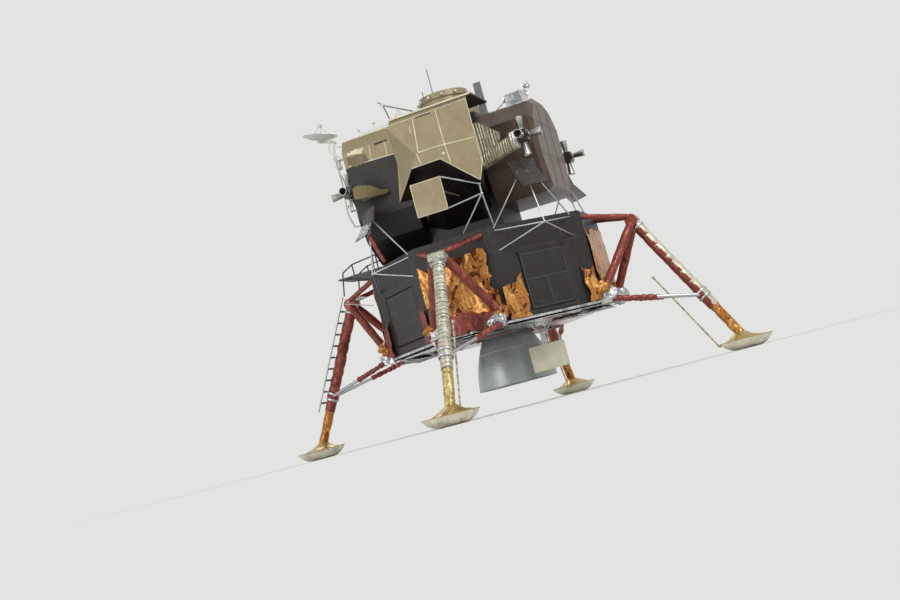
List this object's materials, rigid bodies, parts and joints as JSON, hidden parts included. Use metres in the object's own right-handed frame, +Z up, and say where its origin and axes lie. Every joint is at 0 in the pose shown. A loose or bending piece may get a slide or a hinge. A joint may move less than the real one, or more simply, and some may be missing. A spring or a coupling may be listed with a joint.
{
  "type": "crewed lunar lander",
  "caption": "Two-stage crewed lunar lander standing on four legs, with a hollow cabin, hatches, thruster quads, dish aerials, gimballed engine and folding probes.",
  "frame": {"origin": "on the ground plane under the pads, below the middle of the stages", "axes": "+Z up, -Y forward through the hatch and ladder, +X to port"},
  "size_m": [9.424, 9.424, 6.985],
  "materials": {
    "foil_gold": "crinkled gold film",
    "film_tan": "tan film over aluminium panel",
    "panel_black": "matt black painted panel",
    "foil_silver": "aluminised film",
    "wrap_red": "red brown film wrap",
    "strut_wrap": "banded film wrap",
    "bare_metal": "bare aluminium",
    "dish_white": "white paint",
    "nozzle_grey": "satin heat resistant alloy",
    "window": "window glass",
    "cabin_grey": "matt grey paint"
  },
  "bodies": {
    "lander": {"descent_structure": "panel_black", "gear_lugs": "bare_metal", "bay_forward_port": "panel_black", "bay_aft_port": "panel_black", "bay_forward_starboard": "panel_black", "bay_aft_starboard": "panel_black", "top_deck": "panel_black", "base_heat_shield": "foil_silver", "arm_end_covers": "foil_gold", "primary_strut_port": "strut_wrap", "primary_strut_aft": "strut_wrap", "primary_strut_starboard": "strut_wrap", "primary_strut_forward": "strut_wrap", "outriggers_port": "wrap_red", "outriggers_aft": "wrap_red", "outriggers_starboard": "wrap_red", "outriggers_forward": "wrap_red", "side_struts": "bare_metal", "strut_pistons": "foil_gold", "footpads": "foil_gold", "ladder": "bare_metal", "porch": "bare_metal", "radar_bracket": "bare_metal", "cabin_shell": "film_tan", "cabin_front": "film_tan", "window_panes": "window", "instrument_panels": "cabin_grey", "midsection_floor": "panel_black", "midsection_walls": "panel_black", "midsection_roof": "panel_black", "docking_tunnel": "bare_metal", "ascent_engine": "nozzle_grey", "tank_bay_port": "film_tan", "tank_bay_starboard": "film_tan", "aft_equipment_bay": "panel_black", "thruster_quads": "nozzle_grey", "quad_booms": "film_tan", "plume_deflectors": "foil_silver", "deflector_trusses": "bare_metal", "interstage_posts": "bare_metal", "tank_shield_plate": "film_tan", "radar_mount": "bare_metal", "steerable_mast": "bare_metal", "roof_aerials": "bare_metal", "tracking_light": "bare_metal", "aft_roof_fixture": "foil_silver"},
    "forward_hatch": {"forward_hatch": "panel_black"},
    "overhead_hatch": {"overhead_hatch": "panel_black"},
    "radar_yoke": {"radar_yoke": "bare_metal"},
    "radar_dish": {"radar_dish": "dish_white"},
    "steerable_yoke": {"steerable_yoke": "bare_metal"},
    "steerable_dish": {"steerable_dish": "dish_white"},
    "engine_ring": {"engine_gimbal_ring": "bare_metal"},
    "descent_engine": {"descent_engine": "nozzle_grey"},
    "landing_radar": {"landing_radar": "film_tan"},
    "equipment_pallet": {"equipment_pallet": "panel_black"},
    "bay_door": {"bay_door": "panel_black"},
    "probe_port": {"probe_port": "bare_metal"},
    "probe_aft": {"probe_aft": "bare_metal"},
    "probe_starboard": {"probe_starboard": "bare_metal"}
  },
  "joints": [
    {"name": "forward_hatch_swing", "type": "hinge", "parent": "lander", "child": "forward_hatch", "pos_m": [-0.432, -1.756, 3.885], "axis": [0, 0, 1], "range_deg": [0, 90]},
    {"name": "overhead_hatch_swing", "type": "hinge", "parent": "lander", "child": "overhead_hatch", "pos_m": [0, 0.46, 5.42], "axis": [1, 0, 0], "range_deg": [0, 80]},
    {"name": "radar_turn", "type": "hinge", "parent": "lander", "child": "radar_yoke", "pos_m": [0, -2.4, 5.59], "axis": [0, 0, 1], "range_deg": [-45, 45]},
    {"name": "radar_tip", "type": "hinge", "parent": "radar_yoke", "child": "radar_dish", "pos_m": [0, -2.4, 5.94], "axis": [1, 0, 0], "range_deg": [-10, 75]},
    {"name": "steerable_turn", "type": "hinge", "parent": "lander", "child": "steerable_yoke", "pos_m": [-1.25, -1.15, 5.98], "axis": [0, 0, 1], "range_deg": [-90, 90]},
    {"name": "steerable_tip", "type": "hinge", "parent": "steerable_yoke", "child": "steerable_dish", "pos_m": [-1.25, -1.15, 6.11], "axis": [1, 0, 0], "range_deg": [-75, 10]},
    {"name": "engine_pitch", "type": "hinge", "parent": "lander", "child": "engine_ring", "pos_m": [0, 0, 2.05], "axis": [1, 0, 0], "range_deg": [-6, 6]},
    {"name": "engine_roll", "type": "hinge", "parent": "engine_ring", "child": "descent_engine", "pos_m": [0, 0, 2.05], "axis": [0, 1, 0], "range_deg": [-6, 6]},
    {"name": "landing_radar_tilt", "type": "hinge", "parent": "lander", "child": "landing_radar", "pos_m": [0.84, 0.91, 1.045], "axis": [1, 0, 0], "range_deg": [0, 24]},
    {"name": "pallet_fold", "type": "hinge", "parent": "lander", "child": "equipment_pallet", "pos_m": [1.35736, -1.35736, 1.652], "axis": [0.7071, 0.7071, 0], "range_deg": [0, 100]},
    {"name": "bay_door_lift", "type": "hinge", "parent": "lander", "child": "bay_door", "pos_m": [1.38706, 1.38706, 2.588], "axis": [0.7071, -0.7071, 0], "range_deg": [0, 90]},
    {"name": "probe_port_fold", "type": "hinge", "parent": "lander", "child": "probe_port", "pos_m": [3.745, 0, 0.15], "axis": [0, -1, 0], "range_deg": [0, 150]},
    {"name": "probe_aft_fold", "type": "hinge", "parent": "lander", "child": "probe_aft", "pos_m": [0, 3.745, 0.15], "axis": [1, 0, 0], "range_deg": [0, 150]},
    {"name": "probe_starboard_fold", "type": "hinge", "parent": "lander", "child": "probe_starboard", "pos_m": [-3.745, 0, 0.15], "axis": [0, 1, 0], "range_deg": [0, 150]}
  ]
}
